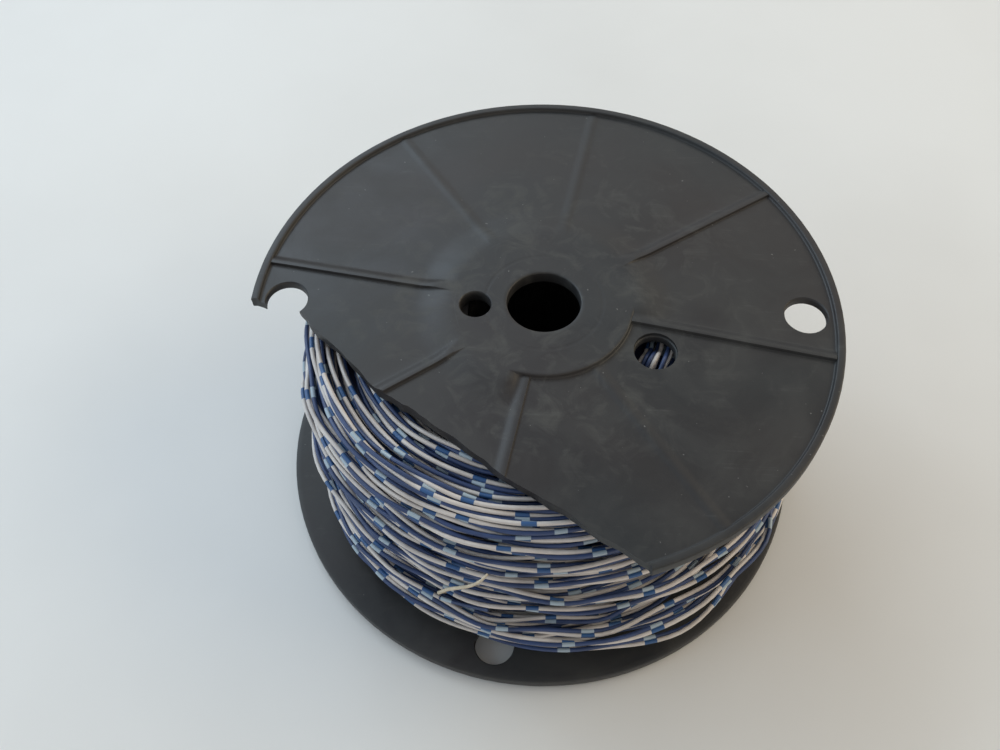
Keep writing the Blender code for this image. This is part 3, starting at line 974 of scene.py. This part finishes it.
def banded_insulation(name, ground, band, shade):
    """Extruded insulation with printed bands at an even spacing along the wire, its ground
    patched with a darker copy of itself as painted shade.
    """
    finish = Finish(name)
    plain = finish.place()
    source = finish.add("ShaderNodeUVMap", uv_map="along_wire")
    split = finish.add("ShaderNodeSeparateXYZ")
    finish.join(source.outputs["UV"], split.inputs["Vector"])
    along = finish.math("DIVIDE", split.outputs["X"], BAND_SPACING)
    slip = finish.remap(finish.noise(plain, 60.0, 1.0), 0.3, 0.7, -0.03, 0.03)
    place = finish.math("FRACT", finish.math("ADD", along, slip))
    banded = finish.math("LESS_THAN", place, BAND_LENGTH / BAND_SPACING)
    # Painted shade: random patches of the ground take its darker shade colour; they also vary the
    # roughness.
    painted_shade_patches = finish.remap(finish.noise(plain, 140.0, 5.0, 0.6), 0.35, 0.75, 0.0, 1.0)
    ground_colour = finish.mix(painted_shade_patches, ground, shade)
    colour = finish.mix(banded, ground_colour, band)
    finish.join(colour, finish.shader.inputs["Base Color"])
    finish.join(finish.remap(painted_shade_patches, 0.0, 1.0, 0.36, 0.52), finish.shader.inputs["Roughness"])
    normal = finish.bump(finish.noise(plain, 900.0, 3.0), 0.00005, 0.3)
    finish.join(normal, finish.shader.inputs["Normal"])
    finish.shader.inputs["Specular IOR Level"].default_value = 0.5
    return finish.material


def pale_strand():
    """Cream strand, faintly fibrous and dull, with a little grime."""
    finish = Finish("pale_strand")
    plain = finish.place()
    grime = finish.remap(finish.noise(plain, 420.0, 4.0, 0.6), 0.4, 0.75, 0.0, 1.0)
    colour = finish.mix(grime, (0.60, 0.50, 0.36), (0.44, 0.37, 0.27))
    finish.join(colour, finish.shader.inputs["Base Color"])
    finish.join(finish.remap(grime, 0.0, 1.0, 0.5, 0.65), finish.shader.inputs["Roughness"])
    normal = finish.bump(finish.noise(plain, 3000.0, 2.0), 0.00004, 0.4)
    finish.join(normal, finish.shader.inputs["Normal"])
    return finish.material


def shaded_core():
    """The layers under the turns, seen only between them: dark wire stripes as painted shade."""
    finish = Finish("deep_layers_painted_shade")
    plain = finish.place()
    stripes = finish.add("ShaderNodeTexWave", bands_direction="Z")
    stripes.inputs["Scale"].default_value = 150.0
    stripes.inputs["Distortion"].default_value = 1.5
    finish.join(plain, stripes.inputs["Vector"])
    # Both stripe colours are painted shade: the layers below are the same white and blue wire.
    colour = finish.mix(stripes.outputs["Fac"], (0.012, 0.02, 0.06), (0.10, 0.10, 0.11))
    finish.join(colour, finish.shader.inputs["Base Color"])
    finish.join(finish.bump(stripes.outputs["Fac"], 0.0005, 0.8), finish.shader.inputs["Normal"])
    finish.shader.inputs["Roughness"].default_value = 0.6
    return finish.material


def pale_table():
    """Painted table top: off-white, with faint stains and a fine orange-peel skin."""
    finish = Finish("pale_table")
    plain = finish.place()
    stain = finish.remap(finish.noise(plain, 9.0, 4.0, 0.5), 0.4, 0.75, 0.0, 1.0)
    colour = finish.mix(stain, (0.77, 0.765, 0.75), (0.72, 0.712, 0.695))
    finish.join(colour, finish.shader.inputs["Base Color"])
    finish.shader.inputs["Roughness"].default_value = 0.55
    normal = finish.bump(finish.noise(plain, 700.0, 2.0), 0.0001, 0.15)
    finish.join(normal, finish.shader.inputs["Normal"])
    return finish.material


# Stage -----------------------------------------------------------------------------------------
def make_floor():
    """A square table top, a hair below the face that the spool stands on."""
    half = 1.6
    corners = ((-half, -half), (half, -half), (half, half), (-half, half))
    points = np.array([(x, y, 0.0) for x, y in corners])
    floor = new_piece("floor", new_mesh("floor", points, np.array([(0, 1, 2, 3)])), pale_table())
    floor.location.z = -0.05 * MM


def soft_light(name, place, aim, size, power, colour):
    """A rectangular soft light at a place, facing the aim."""
    light = bpy.data.lights.new(name, "AREA")
    light.shape = "RECTANGLE"
    light.size = size[0]
    light.size_y = size[1]
    light.energy = power
    light.color = colour
    lamp = bpy.data.objects.new(name, light)
    bpy.context.scene.collection.objects.link(lamp)
    lamp.location = place
    lamp.rotation_mode = "QUATERNION"
    lamp.rotation_quaternion = (Vector(aim) - Vector(place)).to_track_quat("-Z", "Y")


def make_lights():
    """A pale room with cool daylight from the left and behind and a warm lamp at the right."""
    world = bpy.data.worlds.new("room")
    bpy.context.scene.world = world
    world.use_nodes = True
    sky = world.node_tree.nodes["Background"]
    sky.inputs["Color"].default_value = (0.95, 0.97, 1.0, 1.0)
    sky.inputs["Strength"].default_value = 0.36
    aim = (0, 0, 0.03)
    soft_light("window", (-1.20, 0.10, 0.62), aim, (1.5, 1.0), 9.5, (0.68, 0.86, 1.0))
    soft_light("sky_light", (-0.75, 1.05, 1.15), aim, (1.1, 0.7), 10.5, (0.74, 0.88, 1.0))
    soft_light("room_lamp", (1.15, 0.20, 0.70), aim, (1.1, 1.0), 8.5, (1.0, 0.83, 0.56))
    soft_light("front_fill", (0.35, -1.30, 0.36), aim, (1.4, 0.6), 2.2, (1.0, 0.88, 0.72))
    soft_light("back_wall", (0.35, 1.35, 0.95), aim, (1.3, 0.6), 2.5, (1.0, 0.95, 0.86))


def make_camera():
    """Camera in front and above, aimed a little off the spool's middle. Angles are in radians."""
    unit = FLANGE_RADIUS
    elevation = 0.9030
    distance = 3.3785 * unit
    yaw = -0.0414
    pitch = -0.0763
    roll = 0.0310
    back = Vector((0.0, -math.cos(elevation), math.sin(elevation)))
    forward = -back
    right = Vector((1.0, 0.0, 0.0))
    up = right.cross(forward)
    forward = forward * math.cos(yaw) + right * math.sin(yaw)
    right = forward.cross(up).normalized()
    forward = forward * math.cos(pitch) + up * math.sin(pitch)
    up = right.cross(forward)
    across = right * math.cos(roll) + up * math.sin(roll)
    upwards = up * math.cos(roll) - right * math.sin(roll)
    camera = bpy.data.objects.new("camera", bpy.data.cameras.new("camera"))
    bpy.context.scene.collection.objects.link(camera)
    turn = Matrix((across, upwards, -forward)).transposed()
    camera.matrix_world = Matrix.Translation(back * distance + Vector((0, 0, unit))) @ turn.to_4x4()
    camera.data.sensor_width = 36.0
    camera.data.lens = 36.12
    camera.data.clip_start = 0.01
    bpy.context.scene.camera = camera


# Making ----------------------------------------------------------------------------------------
make_camera()
make_floor()
make_lights()
bpy.context.scene.view_settings.view_transform = "Standard"

plastic = scuffed_plastic()
make_flanges(plastic)
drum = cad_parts["drum"]
drum.data.materials.clear()
drum.data.materials.append(plastic)

# Each conductor's ground colour, band colour and a darker copy of the ground as painted shade.
INSULATION_COLOURS = {
    "white": ((0.67, 0.62, 0.58), (0.030, 0.095, 0.24), (0.47, 0.42, 0.39)),
    "blue": ((0.036, 0.064, 0.165), (0.36, 0.44, 0.50), (0.024, 0.040, 0.098)),
}
insulation = {}
for colour, colours in INSULATION_COLOURS.items():
    insulation[colour] = banded_insulation(f"{colour}_insulation", *colours)
make_core(shaded_core())
make_winding(insulation)
make_wire_ends(insulation, pale_strand())
